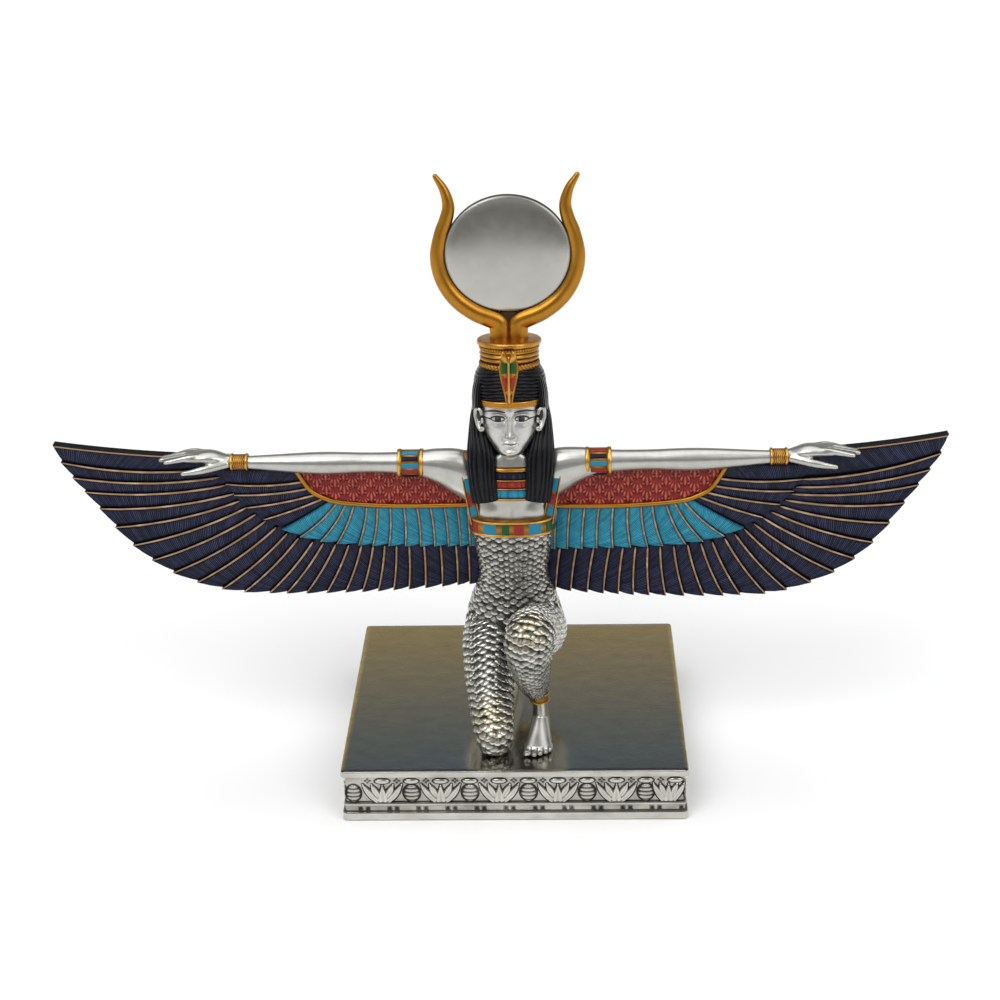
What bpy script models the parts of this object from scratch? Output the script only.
"""A kneeling winged goddess on a rectangular plinth, as two castings.

The winged figure is one casting: body, arms, legs, hair, dress trim, wings, and the crown
of horns and sun disc. The plinth under it is a block with a lotus frieze on its four sides.
+X is the viewer's right, +Y points away from the viewer, and +Z is up. The origin is the
centre of the plinth's underside.
"""

import math

import bmesh
import bpy
from mathutils import Matrix, Vector

# Driving dimensions, in metres
PLINTH_WIDTH = 0.150
PLINTH_DEPTH = 0.128
PLINTH_HEIGHT = 0.025
TOP_LIP_HEIGHT = 0.0030
BOTTOM_LIP_HEIGHT = 0.0040
LEDGE_HEIGHT = 0.0045
LEDGE_RIM = 0.0014
LEDGE_INSET = 0.0006
FRIEZE_INSET = 0.0018
EDGE_CHAMFER = 0.0004
CORNER_RADIUS = 0.0014
MOTIF_PITCH = 0.0247
MOTIF_RELIEF = 0.0010
MOTIF_ROOT = 0.0012
LOTUS_WIDTH = 0.0165
EGG_WIDTH = 0.0073
FRONT_SHIFT = -0.0091
FIGURE_HEIGHT = 0.158
SEAT_GAP = 0.0003
WING_THICKNESS = 0.0042
FEATHER_RELIEF = 0.0010
DISC_WIDTH = 0.0532
DISC_THICKNESS = 0.0075
DISC_RIM = 0.0026
HORN_DIAMETER = 0.0064
HORN_OVERLAP = 0.0006
CROWN_DIAMETER = 0.0254
CROWN_HEIGHT = 0.0128
FLANGE_DIAMETER = 0.0276
BAND_RELIEF = 0.0009

# The figure's proportions are written in units of 1/158 of its height, sole to crown of head,
# measured from the plinth's top, so one unit is a millimetre at the real size.
UNIT = FIGURE_HEIGHT / 158
FIGURE_BASE = PLINTH_HEIGHT + SEAT_GAP
HEAD_PIVOT = Vector((0, 0, 122))
HEAD_TILT = math.radians(8)
DISC_FLATTENING = 0.92

SILVER = (0.72, 0.71, 0.68, 1)

# Stations of each limb: x, y, z of its centre, then its two half-widths, in figure units
TORSO = [
    (0, 5, 25, 12, 10),
    (0, 4, 31, 18.5, 14.5),
    (0, 2.5, 39, 21.2, 15.5),
    (0, 1.5, 49, 19.2, 13),
    (0, 0, 62, 15, 10),
    (0, -0.6, 73, 15.8, 10.4),
    (0, -1.2, 87, 18.2, 11.6),
    (0, -0.8, 99, 19.6, 11.2),
    (0, 0, 112, 23, 9.4),
    (0, 0.3, 118.5, 18.5, 7.2),
    (0, 0.3, 122, 9.5, 6.2),
]
BREAST_PLACE, BREAST_RADII = (7.8, -7.4, 94.5), (8, 7, 9)
ARM = [
    (10, 1, 104, 9.5, 7.5),
    (21, 0.6, 112, 10, 7.6),
    (31, 0.2, 115.4, 7.6, 6.4),
    (42, 0, 116.5, 5.2, 5.0),
    (60, 0, 117, 4.4, 4.5),
    (82, 0, 117, 4.9, 4.8),
    (112, 0.4, 117.5, 2.9, 3.1),
    (121, 0, 118.4, 2.7, 3.4),
    (129, -0.8, 121, 2.8, 4.8),
    (139, -1, 121, 1.7, 4.8),
]
FINGERS = [(-4.4, 149), (-1.8, 151.6), (0.8, 150.8), (3.2, 147)]
THUMB = [(123, -2.8, 118.4, 2.0, 2.0), (132, -6.6, 117.4, 1.7, 1.7), (143, -6.6, 115.8, 0.9, 0.9)]
KNEELING_THIGH = [
    (-9.5, 7, 36, 12, 11.5),
    (-10.8, -8, 32.5, 12, 12),
    (-11, -22, 25.5, 11, 11.5),
    (-10, -36, 16.5, 9.6, 10.4),
    (-8.7, -49.4, 8.9, 8.4, 8.9),
]
KNEELING_SHIN = [
    (-8.8, -50, 7.5, 7, 7),
    (-9.4, -36, 8, 8.4, 8.2),
    (-7.6, -16, 8.6, 8.4, 8.6),
    (-3.6, 2, 8.4, 6.8, 7.2),
    (-1.2, 14, 8.6, 4.8, 5),
    (-0.6, 21, 10.6, 4.2, 4.4),
]
TUCKED_FOOT = [
    (-0.4, 24, 23.5, 3.2, 3.0),
    (-0.2, 22.8, 18, 4.3, 5.2),
    (0.2, 23.6, 10, 4.8, 4.6),
    (0.7, 23.6, 4.2, 5.2, 3.2),
    (0.9, 16, 1.4, 4.8, 1.4),
]
RAISED_THIGH = [
    (9.5, 7, 34, 12.5, 12.5),
    (11.4, -8, 38.5, 11.6, 12),
    (11, -22, 45, 11, 11.4),
    (9.2, -34, 51.5, 10.6, 10.8),
    (7.4, -44.5, 57.2, 10, 10),
]
RAISED_SHIN = [
    (6.8, -46.5, 61, 8.4, 8),
    (6.7, -47.5, 53, 9.8, 9.4),
    (7.2, -45, 43, 8.8, 9.4),
    (8.4, -41, 33, 7, 8),
    (9.6, -38, 27, 5.6, 6.2),
    (10.8, -35.6, 23.4, 3.8, 4.3),
    (11.4, -34.4, 15, 3.5, 4.1),
    (11.4, -34, 8, 3.6, 4.6),
]
FLAT_FOOT = [
    (11.8, -27.4, 3.4, 2.6, 3.2),
    (11.6, -31, 5.4, 4, 5.4),
    (11.2, -37, 6.2, 4.4, 6.2),
    (10.6, -44, 3.8, 5.6, 3.8),
    (10.3, -50, 2.2, 6.4, 2.2),
]
TOES = [(5.5, 1.8, 54.6), (8.7, 1.35, 54.8), (11.3, 1.3, 53.8), (13.7, 1.2, 52.4), (15.8, 1.1, 50.6)]
NECK = [(0, 0.5, 114, 8, 7), (0, -0.2, 121, 5.8, 6), (0, -0.8, 130, 5.6, 6)]

# Sections of the head in its own upright frame: height over the pivot, half-width, front, back
SKULL = [
    (0.4, 2.6, -13, -7),
    (2.2, 5, -13.8, -3),
    (6, 8.2, -13.7, 4),
    (11, 10.4, -13.6, 9),
    (17, 11.5, -13.2, 12),
    (24, 11.5, -12.8, 13),
    (31, 8, -9, 10),
]
WIG_CAP = [
    (20, 12.6, -8, 14.5),
    (24.5, 14.6, -14.2, 16),
    (27.5, 15.6, -14.9, 16.4),
    (31, 15.6, -14.6, 16.2),
    (34.5, 14.9, -13.8, 15.2),
    (37.6, 13.4, -12.6, 13.6),
]
HEADBAND = [
    (22.6, 12.4, -13.9, 14),
    (22.8, 14.4, -15, 15.6),
    (25.2, 14.9, -15.4, 16.2),
    (25.4, 13, -13.5, 14),
]
NOSE = [(0, -12.4, 19, 1.0, 1.0), (0, -14.9, 10.4, 1.9, 1.9), (0, -13.4, 8.6, 1.4, 1.2)]
EYE_PLACE, EYE_RADII = (4.9, -12.1, 17), (2.8, 1.3, 1.3)
MOUTH_PLACE, MOUTH_RADII = (0, -13.5, 6), (3, 1.1, 1.5)
EAR = [(12.4, -3.2, 11.4, 1.3, 1.1), (13.6, -2.4, 16, 1.8, 1.4), (14.2, -1.6, 21, 1.9, 1.3)]
COBRA = [
    (0, -15.4, 25, 1.2, 1.3),
    (0, -15.7, 34, 2.4, 1.2),
    (0, -15.2, 43, 3.9, 1.3),
    (0, -14.9, 46.4, 2.2, 1.3),
    (0, -16.4, 49.2, 1.0, 1.0),
]
CROWN_BASE = 36.8
DISC_LIFT = 11.5
HORN_ROOT_LIFT, HORN_ROOT_RADII = 8.6, (3.4, 2.6, 4.2)
LAPPET = [
    (13.4, 6, 146, 2.6, 4.4),
    (14.6, 2, 134, 3.3, 5.4),
    (12.9, -5, 123, 5.8, 6),
    (12.3, -9.2, 113, 5.8, 5),
    (11.3, -11.4, 103.4, 5.4, 3.6),
]
BACK_HAIR = [
    (0, 10, 148, 14.6, 8),
    (0, 10.2, 133, 16.8, 7),
    (0, 9.8, 116, 17.2, 5.6),
    (0, 9.4, 101, 15.6, 4.6),
]
LAPPET_STRANDS = 4
BACK_STRANDS = 7
STRAND_RELIEF = 0.6

# Feather lines of the wing: number, root out from the middle and up, tip out and up
OUTER_LINES = [
    (0, 126, 119.4, 193.6, 126),
    (1, 129, 113.6, 191.2, 117.6),
    (2, 124, 109.6, 187, 110.2),
    (4, 118.6, 101.4, 177, 95),
    (6, 113.4, 94.4, 164.4, 76.6),
    (8, 105.5, 87.6, 148, 62.6),
    (10, 96.2, 81.4, 127, 54),
    (12, 85.2, 77, 106, 51.8),
    (16, 63.6, 75.2, 72, 51.8),
    (20, 42.6, 75, 43.6, 53.2),
    (24, 16.8, 75, 16.6, 55.6),
    (25, 10, 75, 9.6, 56.2),
]
COVERT_LINES = [
    (0, 86, 115, 127, 114.8),
    (1, 86.6, 107.8, 120.6, 107),
    (2, 85, 104.4, 117.4, 101.6),
    (3, 82, 101.4, 112.2, 95.4),
    (4, 79, 99.4, 105.4, 89.4),
    (5, 76, 98, 97.8, 84.8),
]
TURQUOISE_LINES = [
    (0, 76.4, 98, 97.8, 84.6),
    (1, 73, 97.2, 90, 80.8),
    (2, 69.2, 96.4, 81.2, 78.4),
    (4, 60, 95.2, 64.6, 76.4),
    (8, 38.2, 94.8, 37.4, 75.6),
    (12, 16.4, 94.8, 15.8, 75.4),
    (13, 10, 94.8, 9.6, 75.4),
]
BORDER = [(89.4, 113), (84.2, 104.2), (78.6, 100.2), (71, 97.8), (37, 95.8), (9, 96.2)]
CORE_PLATE = [(8, 68), (8, 110), (60, 112.5), (132, 116.6), (124, 107), (106, 86), (92, 77.5), (70, 71)]
RED_PANEL = [(9, 96), (9, 112), (60, 114.5), (88.6, 114.5), (84, 104.6), (78, 100.2), (70, 97.8), (38, 95.8)]
TOP_SAG, FIRST_SAG, LAST_SAG = 0.015, 0.046, 0.010
TIP_NOTCH = 1.2
WING_FACE = 2.0
ARM_LINE = 117

# The two wings differ a little: share of the reach at the tips, at the roots, and of the depth
WING_FIT = {-1: (1.015, 1.015, 1.0), 1: (0.985, 1.07, 1.045)}
WING_SHIFT = -3.0
ARM_SHIFT = -1.5

# Dress trim, in figure units
BELT_Z, BELT_HALF_HEIGHT = 91.2, 3.6
ARMBAND_X, ARMBAND_HALF_WIDTH, ARMBAND_RADII = 40.6, 5.6, (5.4, 5.3)
BRACELET_X, BRACELET_HALF_WIDTH, BRACELET_RADII = 116.6, 3.8, (2.9, 3.2)
ANKLET_Z, ANKLET_HALF_HEIGHT = 20, 2.2
STRAP_X, STRAP_HALF_WIDTH, STRAP_LIFT = (15.6, 19.6), 2.3, 0.5
COLLAR = [
    (6.4, 7, 119.4),
    (7.2, 7.8, 119),
    (8.6, 8.6, 116.6),
    (13.2, 11.4, 106.6),
    (14.6, 12, 103.6),
    (13.6, 11, 103),
]


def clear_scene():
    for obj in list(bpy.data.objects):
        bpy.data.objects.remove(obj)


def painted(name, colour, metallic, roughness):
    """A plain Principled material in the part's own colour."""
    material = bpy.data.materials.new(name)
    material.use_nodes = True
    shader = material.node_tree.nodes["Principled BSDF"]
    shader.inputs["Base Color"].default_value = colour
    shader.inputs["Metallic"].default_value = metallic
    shader.inputs["Roughness"].default_value = roughness
    return material


def make_object(name, points, faces, collection):
    """A closed mesh with its faces turned outwards. Points are in metres."""
    mesh = bpy.data.meshes.new(name)
    mesh.from_pydata([tuple(p) for p in points], [], faces)
    shape = bmesh.new()
    shape.from_mesh(mesh)
    bmesh.ops.recalc_face_normals(shape, faces=shape.faces)
    shape.to_mesh(mesh)
    shape.free()
    obj = bpy.data.objects.new(name, mesh)
    collection.objects.link(obj)
    return obj


def helper(name, points, faces, collection):
    """A piece that a Boolean joins to a casting, and that isn't a part by itself."""
    obj = make_object(name, points, faces, collection)
    obj.hide_render = True
    obj.display_type = "WIRE"
    return obj


def union_with(obj, pieces):
    """Join every object of a collection to this one."""
    join = obj.modifiers.new("join", "BOOLEAN")
    join.operation = "UNION"
    join.operand_type = "COLLECTION"
    join.collection = pieces
    join.solver = "EXACT"


def in_figure(points):
    """Figure units to metres, standing on the plinth."""
    return [Vector(p) * UNIT + Vector((0, 0, FIGURE_BASE)) for p in points]


def tilted(points):
    """Head coordinates, upright and measured from the pivot, to figure units."""
    turn = Matrix.Rotation(-HEAD_TILT, 3, "X")
    return [turn @ Vector(p) + HEAD_PIVOT for p in points]


def circle(sides):
    """Angles of a ring."""
    return [2 * math.pi * k / sides for k in range(sides)]


def catmull(rows, steps):
    """Rows of numbers joined by a smooth curve, with this many steps in each span."""
    padded = [rows[0], *rows, rows[-1]]
    out = []
    for a, b, c, d in zip(padded, padded[1:], padded[2:], padded[3:]):
        for step in range(steps):
            t = step / steps
            out.append(tuple(
                q + 0.5 * t * (r - p + t * (2 * p - 5 * q + 4 * r - s + t * (3 * q - p - 3 * r + s)))
                for p, q, r, s in zip(a, b, c, d)
            ))
    return out + [tuple(rows[-1])]


def bridge(rings):
    """Points and faces of a closed tube through rings of equal size, capped at both ends."""
    size = len(rings[0])
    points = [p for ring in rings for p in ring]
    faces = []
    for r in range(len(rings) - 1):
        for i in range(size):
            j = (i + 1) % size
            faces.append((r * size + i, r * size + j, (r + 1) * size + j, (r + 1) * size + i))
    faces.append(tuple(range(size)))
    faces.append(tuple((len(rings) - 1) * size + i for i in range(size)))
    return points, faces


def rounded_end(stations):
    """The same stations with two more that close the far end as a dome."""
    before, last = Vector(stations[-2][:3]), Vector(stations[-1][:3])
    along = (last - before).normalized()
    reach = min(stations[-1][3:])
    domes = []
    for degrees in (38, 70):
        a = math.radians(degrees)
        centre = last + along * reach * math.sin(a)
        domes.append((*centre, stations[-1][3] * math.cos(a), stations[-1][4] * math.cos(a)))
    return [*stations, *domes]


def limb(stations, sides, across, mirror=1, shift=0.0):
    """A tube with oval sections, square to its path. across is the direction of the first half-width."""
    rows = [(mirror * s[0] + shift, *s[1:]) for s in stations]
    centres = [Vector(row[:3]) for row in rows]
    rings = []
    for i, row in enumerate(rows):
        along = (centres[min(i + 1, len(rows) - 1)] - centres[max(i - 1, 0)]).normalized()
        first = (Vector(across) - along * Vector(across).dot(along)).normalized()
        second = along.cross(first)
        rings.append([
            centres[i] + first * row[3] * math.cos(a) + second * row[4] * math.sin(a) for a in circle(sides)
        ])
    return bridge(rings)


def level_sections(rows, sides, power=0.92):
    """Level sections of a head, one above the other: each row is height, half-width, front and back."""
    rings = []
    for height, half_width, front, back in rows:
        middle, half_depth = (front + back) / 2, (back - front) / 2
        ring = []
        for a in circle(sides):
            c, s = math.cos(a), math.sin(a)
            x = half_width * math.copysign(abs(c) ** power, c)
            y = middle + half_depth * math.copysign(abs(s) ** power, s)
            ring.append(Vector((x, y, height)))
        rings.append(ring)
    return bridge(rings)


def turned(profile, sides):
    """A solid turned about the upright axis from radius and height pairs."""
    return bridge([
        [Vector((radius * math.cos(a), radius * math.sin(a), height)) for a in circle(sides)]
        for radius, height in profile
    ])


def egg(centre, radii, sides, rows):
    """A small ellipsoid with flat poles."""
    rings = []
    for row in range(rows):
        a = math.pi * (row + 0.5) / rows
        rings.append([
            Vector(centre) + Vector((
                radii[0] * math.sin(a) * math.cos(b),
                radii[1] * math.sin(a) * math.sin(b),
                radii[2] * math.cos(a),
            ))
            for b in circle(sides)
        ])
    return bridge(rings)


def slab(outline, low, high):
    """A flat plate: an outline in X and Z, between two depths in Y."""
    return bridge([[Vector((x, y, z)) for x, z in outline] for y in (low, high)])


def band(ends, centre, radii, sides, axis):
    """A ring around a limb that lies along an axis."""
    low, high = ends
    lift = BAND_RELIEF / UNIT
    rings = []
    for place, raised in ((low, -1.0), (low, lift), (high, lift), (high, -1.0)):
        ring = []
        for a in circle(sides):
            p, q = (radii[0] + raised) * math.cos(a), (radii[1] + raised) * math.sin(a)
            if axis == "X":
                ring.append(Vector((place, centre[1] + q, centre[2] + p)))
            else:
                ring.append(Vector((centre[0] + p, centre[1] + q, place)))
        rings.append(ring)
    return bridge(rings)


def hair_fall(stations, strands, outwards, mirror=1):
    """A fall of hair: level oval sections, cut into strands on the face that points outwards in Y."""
    rings = []
    for x, y, z, half_width, half_depth in stations:
        ring = []
        for k in range(2 * strands + 1):
            a = math.pi * k / (2 * strands)
            swell = STRAND_RELIEF if k % 2 else 0.0
            ring.append(Vector((
                mirror * x + (half_width + swell) * math.cos(a),
                y + outwards * (half_depth + swell) * math.sin(a),
                z,
            )))
        for share in (-0.8, 0.8):
            ring.append(Vector((mirror * x + share * half_width, y - outwards * 0.3 * half_depth, z)))
        rings.append(ring)
    return bridge(rings)


def torso_at(z):
    """Middle, half-width and half-depth of the torso at a height."""
    for a, b in zip(TORSO, TORSO[1:]):
        if a[2] <= z <= b[2]:
            t = (z - a[2]) / (b[2] - a[2])
            return tuple(p + (q - p) * t for p, q in zip((a[1], a[3], a[4]), (b[1], b[3], b[4])))
    return TORSO[-1][1], TORSO[-1][3], TORSO[-1][4]


def strap_stations():
    """A shoulder strap's path up the chest, over the shoulder and down the back."""
    heights = (BELT_Z, 102, 114)
    rises = []
    for number, z in enumerate(heights):
        x = STRAP_X[0] + (STRAP_X[1] - STRAP_X[0]) * number / (len(heights) - 1)
        middle, half_width, half_depth = torso_at(z)
        reach = half_depth * math.sqrt(max(0.0, 1 - (x / half_width) ** 2)) + STRAP_LIFT
        rises.append((x, middle, reach, z))
    front = [(x, middle - reach, z) for x, middle, reach, z in rises]
    rear = [(x, middle + reach, z) for x, middle, reach, z in reversed(rises)]
    path = [*front, (STRAP_X[1], 0, 122), *rear]
    return [(x, y, z, STRAP_HALF_WIDTH, 1.1) for x, y, z in path]


def all_lines(rows):
    """Every feather line between the ones that are given, as root and tip pairs."""
    lines = []
    for before, a, b, after in zip([rows[0], *rows], rows, rows[1:], [*rows[2:], rows[-1]]):
        count = b[0] - a[0]
        span = catmull([before[1:], a[1:], b[1:], after[1:]], count)
        lines += span[count:2 * count]
    return lines + [tuple(float(v) for v in rows[-1][1:])]


def wing_point(x, z, side, reach):
    """A point of one wing: its own reach, depth under the arm and shift."""
    depth = WING_FIT[side][2]
    return side * reach * x + WING_SHIFT, ARM_LINE + (z - ARM_LINE) * depth


def curved_lines(rows, steps, side, tip_reach):
    """Each feather line of one wing as points from root to tip, hanging a little below its chord."""
    lines = all_lines(rows)
    root_reach = WING_FIT[side][1]
    out = []
    for number, (root_x, root_z, tip_x, tip_z) in enumerate(lines):
        share = number / (len(lines) - 1)
        sag = FIRST_SAG + (LAST_SAG - FIRST_SAG) * share if number else TOP_SAG
        ax, az = wing_point(root_x, root_z, side, root_reach)
        bx, bz = wing_point(tip_x, tip_z, side, tip_reach)
        middle_x = (ax + bx) / 2 + side * 2 * sag * (bz - az)
        middle_z = (az + bz) / 2 - side * 2 * sag * (bx - ax)
        out.append([
            (
                (1 - t) ** 2 * ax + 2 * t * (1 - t) * middle_x + t * t * bx,
                (1 - t) ** 2 * az + 2 * t * (1 - t) * middle_z + t * t * bz,
            )
            for t in (step / steps for step in range(steps + 1))
        ])
    return out


def feather_row(lines, front, back, relief):
    """A slab of overlapping feathers with a flat back.

    Each feather is high along its own line and low where it slips under the next."""
    steps = len(lines[0]) - 1
    columns = []
    for number, line in enumerate(lines):
        if number:
            (ax, az), (bx, bz) = line[-2:]
            notch = TIP_NOTCH / math.hypot(bx - ax, bz - az)
            short = [*line[:-1], (bx + (ax - bx) * notch, bz + (az - bz) * notch)]
            columns.append((short, front + relief))
        if number < len(lines) - 1:
            columns.append((line, front))
    length = steps + 1
    points = [Vector((x, y, z)) for column, y in columns for x, z in column]
    faces = []
    for c in range(len(columns) - 1):
        for s in range(steps):
            a, b = c * length + s, (c + 1) * length + s
            faces.append((a, b, b + 1, a + 1))
    last = (len(columns) - 1) * length
    rim = [c * length for c in range(len(columns))]
    rim += [last + s for s in range(1, length)]
    rim += [c * length + steps for c in reversed(range(len(columns) - 1))]
    rim += list(reversed(range(1, steps)))
    offset = len(points)
    points += [Vector((points[i].x, back, points[i].z)) for i in rim]
    for i, corner in enumerate(rim):
        j = (i + 1) % len(rim)
        faces.append((corner, rim[j], offset + j, offset + i))
    faces.append(tuple(offset + i for i in range(len(rim))))
    return points, faces


def body_pieces():
    """Breasts, neck, legs and feet."""
    across = (1, 0, 0)
    for side in (-1, 1):
        x, y, z = BREAST_PLACE
        yield f"breast{side}", egg((side * x, y, z), BREAST_RADII, 8, 4)
    yield "neck", limb(NECK, 8, across)
    yield "kneeling_thigh", limb(rounded_end(KNEELING_THIGH), 9, across)
    yield "kneeling_shin", limb(KNEELING_SHIN, 8, across)
    yield "tucked_foot", limb(TUCKED_FOOT, 6, across)
    yield "raised_thigh", limb(rounded_end(RAISED_THIGH), 9, across)
    yield "raised_shin", limb(RAISED_SHIN, 9, across)
    yield "flat_foot", limb(FLAT_FOOT, 7, across)
    for number, (x, radius, reach) in enumerate(TOES):
        stations = [(x, -47, 1.8, radius, 1.5), (x, -reach, 1.2, radius * 0.8, 1.1)]
        yield f"toe{number}", limb(stations, 5, across)


def arm_pieces():
    """Both arms with their hands and bands."""
    upright = (0, 0, 1)
    for side in (-1, 1):
        yield f"arm{side}", limb(ARM, 8, upright, side, ARM_SHIFT)
        yield f"thumb{side}", limb(THUMB, 5, upright, side, ARM_SHIFT)
        for row, (y, tip) in enumerate(FINGERS):
            stations = [(137, y, 121.4, 1.4, 1.4), (tip, y, 119.9, 0.8, 0.8)]
            yield f"finger{side}_{row}", limb(stations, 4, upright, side, ARM_SHIFT)
        for name, x, half, radii, z, shift in (
            ("armband", ARMBAND_X, ARMBAND_HALF_WIDTH, ARMBAND_RADII, 116.6, WING_SHIFT),
            ("bracelet", BRACELET_X, BRACELET_HALF_WIDTH, BRACELET_RADII, 117.9, ARM_SHIFT),
        ):
            ends = sorted((side * (x - half) + shift, side * (x + half) + shift))
            yield f"{name}{side}", band(ends, (0, 0.1, z), radii, 8, "X")


def head_pieces():
    """Face, ears, wig and headband, in the head's own frame."""
    yield "skull", level_sections(SKULL, 12)
    yield "nose", limb(NOSE, 5, (1, 0, 0))
    yield "mouth", egg(MOUTH_PLACE, MOUTH_RADII, 6, 3)
    for side in (-1, 1):
        x, y, z = EYE_PLACE
        yield f"eye{side}", egg((side * x, y, z), EYE_RADII, 6, 3)
        yield f"ear{side}", limb(EAR, 4, (0, 1, 0), side)
    yield "wig_cap", level_sections(WIG_CAP, 14)
    yield "headband", level_sections(HEADBAND, 14)
    yield "cobra", limb(COBRA, 5, (1, 0, 0))


def hair_pieces():
    """The falls of hair in front of the shoulders and down the back."""
    for side in (-1, 1):
        yield f"lappet{side}", hair_fall(LAPPET, LAPPET_STRANDS, -1, side)
    yield "back_hair", hair_fall(BACK_HAIR, BACK_STRANDS, 1)


def trim_pieces():
    """Belt, anklet, collar and straps."""
    middle, half_width, half_depth = torso_at(BELT_Z)
    belt = (BELT_Z - BELT_HALF_HEIGHT, BELT_Z + BELT_HALF_HEIGHT)
    yield "belt", band(belt, (0, middle - 0.8, 0), (half_width - 0.4, half_depth + 0.7), 12, "Z")
    anklet = (ANKLET_Z - ANKLET_HALF_HEIGHT, ANKLET_Z + ANKLET_HALF_HEIGHT)
    yield "anklet", band(anklet, (11, -35, 0), (3.5, 4.0), 8, "Z")
    yield "collar", bridge([
        [Vector((half_width * math.cos(a), half_depth * math.sin(a), z)) for a in circle(10)]
        for half_width, half_depth, z in COLLAR
    ])
    for side in (-1, 1):
        yield f"strap{side}", limb(strap_stations(), 4, (1, 0, 0), side)


def horn_stations(top, middle, half_width, half_height, radius):
    """A horn from its foot on the crown, around the disc, to its tip."""
    overlap = HORN_OVERLAP / UNIT
    stations = [(3.7, 0, top - 1.2, 3.6, 4.9), (3.7, 0, top + 4.6, 3.6, 4.9), (4.8, 0, top + 8.2, 3.5, 4.6)]
    for degrees in (-62, -42, -22, -2, 18):
        a = math.radians(degrees)
        girth = radius * (1.26 - 0.32 * (degrees + 62) / 80)
        out, up = half_width + girth - overlap, half_height + girth - overlap
        stations.append((out * math.cos(a), 0, middle + up * math.sin(a), girth, girth))
    for out, up, share in ((0.96, 0.56, 0.90), (0.91, 0.81, 0.82), (0.97, 1.08, 0.62), (1.11, 1.34, 0.34)):
        stations.append((out * half_width, 0, middle + up * half_height, share * radius, share * radius))
    return stations


def crown_pieces():
    """Crown, horns and sun disc, in the head's own frame."""
    base, top = CROWN_BASE, CROWN_BASE + CROWN_HEIGHT / UNIT
    radius, flange = CROWN_DIAMETER / 2 / UNIT, FLANGE_DIAMETER / 2 / UNIT
    groove = 0.95 * radius
    profile = [
        (radius, base - 1), (radius, base + 3.4), (groove, base + 4.8), (radius, base + 6.4),
        (radius, base + 8.2), (groove, base + 9.8), (flange, base + 10.6), (flange, top),
    ]
    yield "crown", turned(profile, 12)
    half_width, horn_radius = DISC_WIDTH / 2 / UNIT, HORN_DIAMETER / 2 / UNIT
    half_height = half_width * DISC_FLATTENING
    rim, thickness = DISC_RIM / UNIT, DISC_THICKNESS / UNIT
    middle = top + DISC_LIFT + half_height
    lens = ((0.45, 0.9, -1), (0.8, 0.55, -1), (1, 0, -1), (1, 0, 1), (0.8, 0.55, 1), (0.45, 0.9, 1))
    rings = []
    for share, bulge, face in lens:
        y = face * (rim / 2 + bulge * (thickness - rim) / 2)
        rings.append([
            Vector((share * half_width * math.cos(a), y, middle + share * half_height * math.sin(a)))
            for a in circle(24)
        ])
    yield "disc", bridge(rings)
    yield "horn_root", egg((0, 0, top + HORN_ROOT_LIFT), HORN_ROOT_RADII, 6, 4)
    for side in (-1, 1):
        stations = horn_stations(top, middle, half_width, half_height, horn_radius)
        yield f"horn{side}", limb(stations, 6, (0, 1, 0), side)


def wing_pieces():
    """Both wings: a core plate, three rows of feathers, the red panel and its border."""
    relief = FEATHER_RELIEF / UNIT
    back = WING_FACE + WING_THICKNESS / UNIT
    for side in (-1, 1):
        tip_reach, root_reach, _ = WING_FIT[side]
        outer = curved_lines(OUTER_LINES, 2, side, tip_reach)
        coverts = curved_lines(COVERT_LINES, 2, side, root_reach)
        turquoise = curved_lines(TURQUOISE_LINES, 1, side, root_reach)
        yield f"outer{side}", feather_row(outer, WING_FACE, back, relief)
        yield f"coverts{side}", feather_row(coverts, WING_FACE - 1.3, back - 0.6, 0.8 * relief)
        yield f"turquoise{side}", feather_row(turquoise, WING_FACE - 1.6, back - 0.9, 0.8 * relief)
        core = [wing_point(x, z, side, root_reach) for x, z in CORE_PLATE]
        yield f"core{side}", slab(core, WING_FACE + 1.4, back - 0.8)
        panel = [wing_point(x, z, side, root_reach) for x, z in RED_PANEL]
        yield f"panel{side}", slab(panel, WING_FACE - 1.5, back - 1.1)
        border = [wing_point(x, z, side, root_reach) for x, z in BORDER]
        yield f"border{side}", limb([(x, WING_FACE - 1.7, z, 1.0, 1.0) for x, z in border], 4, (0, 1, 0))


def winged_figure(scene_collection, material):
    """The casting: every piece joined by one Boolean, then cut flat where it meets the plinth."""
    helpers = bpy.data.collections.new("figure_pieces")
    scene_collection.children.link(helpers)
    upright = (*arm_pieces(), *body_pieces(), *hair_pieces(), *trim_pieces(), *wing_pieces())
    for name, (points, faces) in upright:
        helper(name, in_figure(points), faces, helpers)
    for name, (points, faces) in (*head_pieces(), *crown_pieces()):
        helper(name, in_figure(tilted(points)), faces, helpers)
    points, faces = limb(TORSO, 12, (1, 0, 0))
    figure = make_object("winged_figure", in_figure(points), faces, scene_collection)
    figure.data.materials.append(material)
    union_with(figure, helpers)
    half = PLINTH_WIDTH
    corners = ((-half, -half), (half, -half), (half, half), (-half, half))
    levels = [[Vector((x, y, z)) for x, y in corners] for z in (-PLINTH_HEIGHT, FIGURE_BASE)]
    ground = helper("ground", *bridge(levels), scene_collection)
    cut = figure.modifiers.new("flat_seat", "BOOLEAN")
    cut.operation = "DIFFERENCE"
    cut.object = ground
    cut.solver = "EXACT"


def rounded_rectangle(half_x, half_y, radius):
    """Corner arcs of a level rectangle, anticlockwise."""
    points = []
    for quarter, (sx, sy) in enumerate(((1, 1), (-1, 1), (-1, -1), (1, -1))):
        for step in range(3):
            a = math.pi / 2 * (quarter + step / 2)
            x, y = sx * (half_x - radius), sy * (half_y - radius)
            points.append((x + radius * math.cos(a), y + radius * math.sin(a)))
    return points


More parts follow.
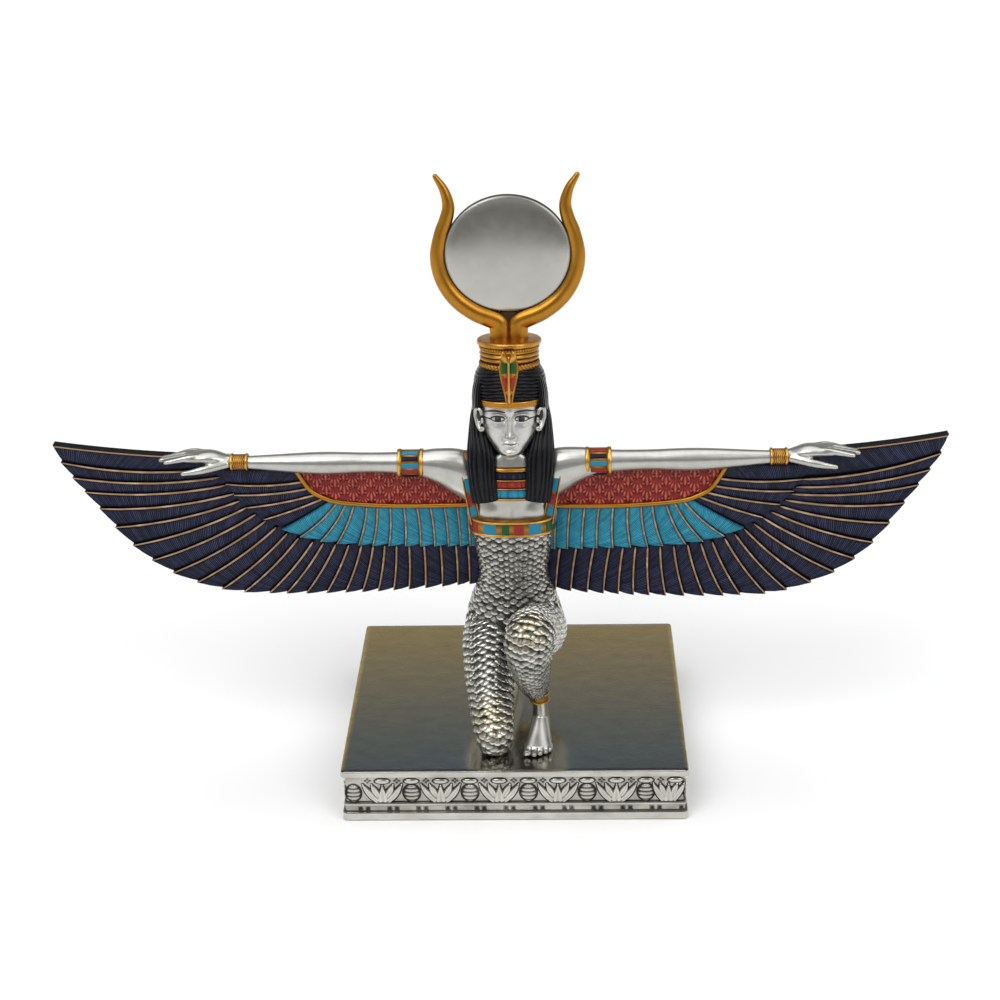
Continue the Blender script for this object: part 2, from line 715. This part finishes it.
def plinth_block():
    """The block: a lip above and below, and a sunk frieze between them."""
    ledge_top = BOTTOM_LIP_HEIGHT + LEDGE_HEIGHT
    rim_bottom = ledge_top - LEDGE_RIM
    frieze_top = PLINTH_HEIGHT - TOP_LIP_HEIGHT
    profile = [
        (EDGE_CHAMFER, 0), (0, EDGE_CHAMFER), (0, BOTTOM_LIP_HEIGHT), (2 * LEDGE_INSET, BOTTOM_LIP_HEIGHT),
        (2 * LEDGE_INSET, rim_bottom), (LEDGE_INSET, rim_bottom), (LEDGE_INSET, ledge_top),
        (FRIEZE_INSET, ledge_top), (FRIEZE_INSET, frieze_top), (0, frieze_top),
        (0, PLINTH_HEIGHT - EDGE_CHAMFER), (EDGE_CHAMFER, PLINTH_HEIGHT),
    ]
    rings = []
    for inset, z in profile:
        outline = rounded_rectangle(PLINTH_WIDTH / 2 - inset, PLINTH_DEPTH / 2 - inset, CORNER_RADIUS)
        rings.append([Vector((x, y, z)) for x, y in outline])
    return bridge(rings)


def lotus(x, low, width, height):
    """One flower as an outline: a tall middle petal, and a short and a long one on each side."""
    half = [(0, 1.0), (0.12, 0.55), (0.25, 0.92), (0.30, 0.50), (0.50, 0.98), (0.16, 0.0)]
    right = [(x + out * width, low + up * height) for out, up in half]
    left = [(x - out * width, low + up * height) for out, up in reversed(half[1:])]
    return right + left


def egg_outline(x, low, width, height):
    """One egg as an outline, narrow at the top."""
    half = [(0, 1.0), (0.36, 0.78), (0.5, 0.4), (0.3, 0.06)]
    right = [(x + out * width, low + up * height) for out, up in half]
    left = [(x - out * width, low + up * height) for out, up in reversed(half[1:])]
    return right + left


def frieze_motifs(half_length, shift):
    """Outlines along one side of the plinth: lotus flowers and banded eggs in turn."""
    low = BOTTOM_LIP_HEIGHT + LEDGE_HEIGHT
    tall = 0.68 * (PLINTH_HEIGHT - TOP_LIP_HEIGHT - low)
    low += 0.05 * tall
    reach = int(2 * half_length / MOTIF_PITCH) + 2
    for number in range(-reach, reach + 1):
        x = number * MOTIF_PITCH / 2 + shift
        width, outline = (EGG_WIDTH, egg_outline) if number % 2 else (LOTUS_WIDTH, lotus)
        if abs(x) + width / 2 < half_length:
            yield outline(x, low, width, tall)


def plinth(scene_collection, material):
    """The block with its motifs standing out from all four sides."""
    motifs = bpy.data.collections.new("frieze_motifs")
    scene_collection.children.link(motifs)
    half_x, half_y = PLINTH_WIDTH / 2, PLINTH_DEPTH / 2
    sides = (
        (0, half_y, half_x, FRONT_SHIFT),
        (90, half_x, half_y, 0),
        (180, half_y, half_x, 0),
        (270, half_x, half_y, 0),
    )
    for degrees, distance, half_length, shift in sides:
        turn = Matrix.Rotation(math.radians(degrees), 3, "Z")
        face = FRIEZE_INSET - distance
        for number, outline in enumerate(frieze_motifs(half_length - FRIEZE_INSET, shift)):
            points, faces = slab(outline, face - MOTIF_RELIEF, face + MOTIF_ROOT)
            helper(f"motif_{degrees}_{number}", [turn @ p for p in points], faces, motifs)
    block = make_object("plinth", *plinth_block(), scene_collection)
    block.data.materials.append(material)
    union_with(block, motifs)


def main():
    clear_scene()
    collection = bpy.context.scene.collection
    winged_figure(collection, painted("silver_paint", SILVER, 0.9, 0.3))
    plinth(collection, painted("plinth_silver_paint", SILVER, 0.9, 0.35))


main()
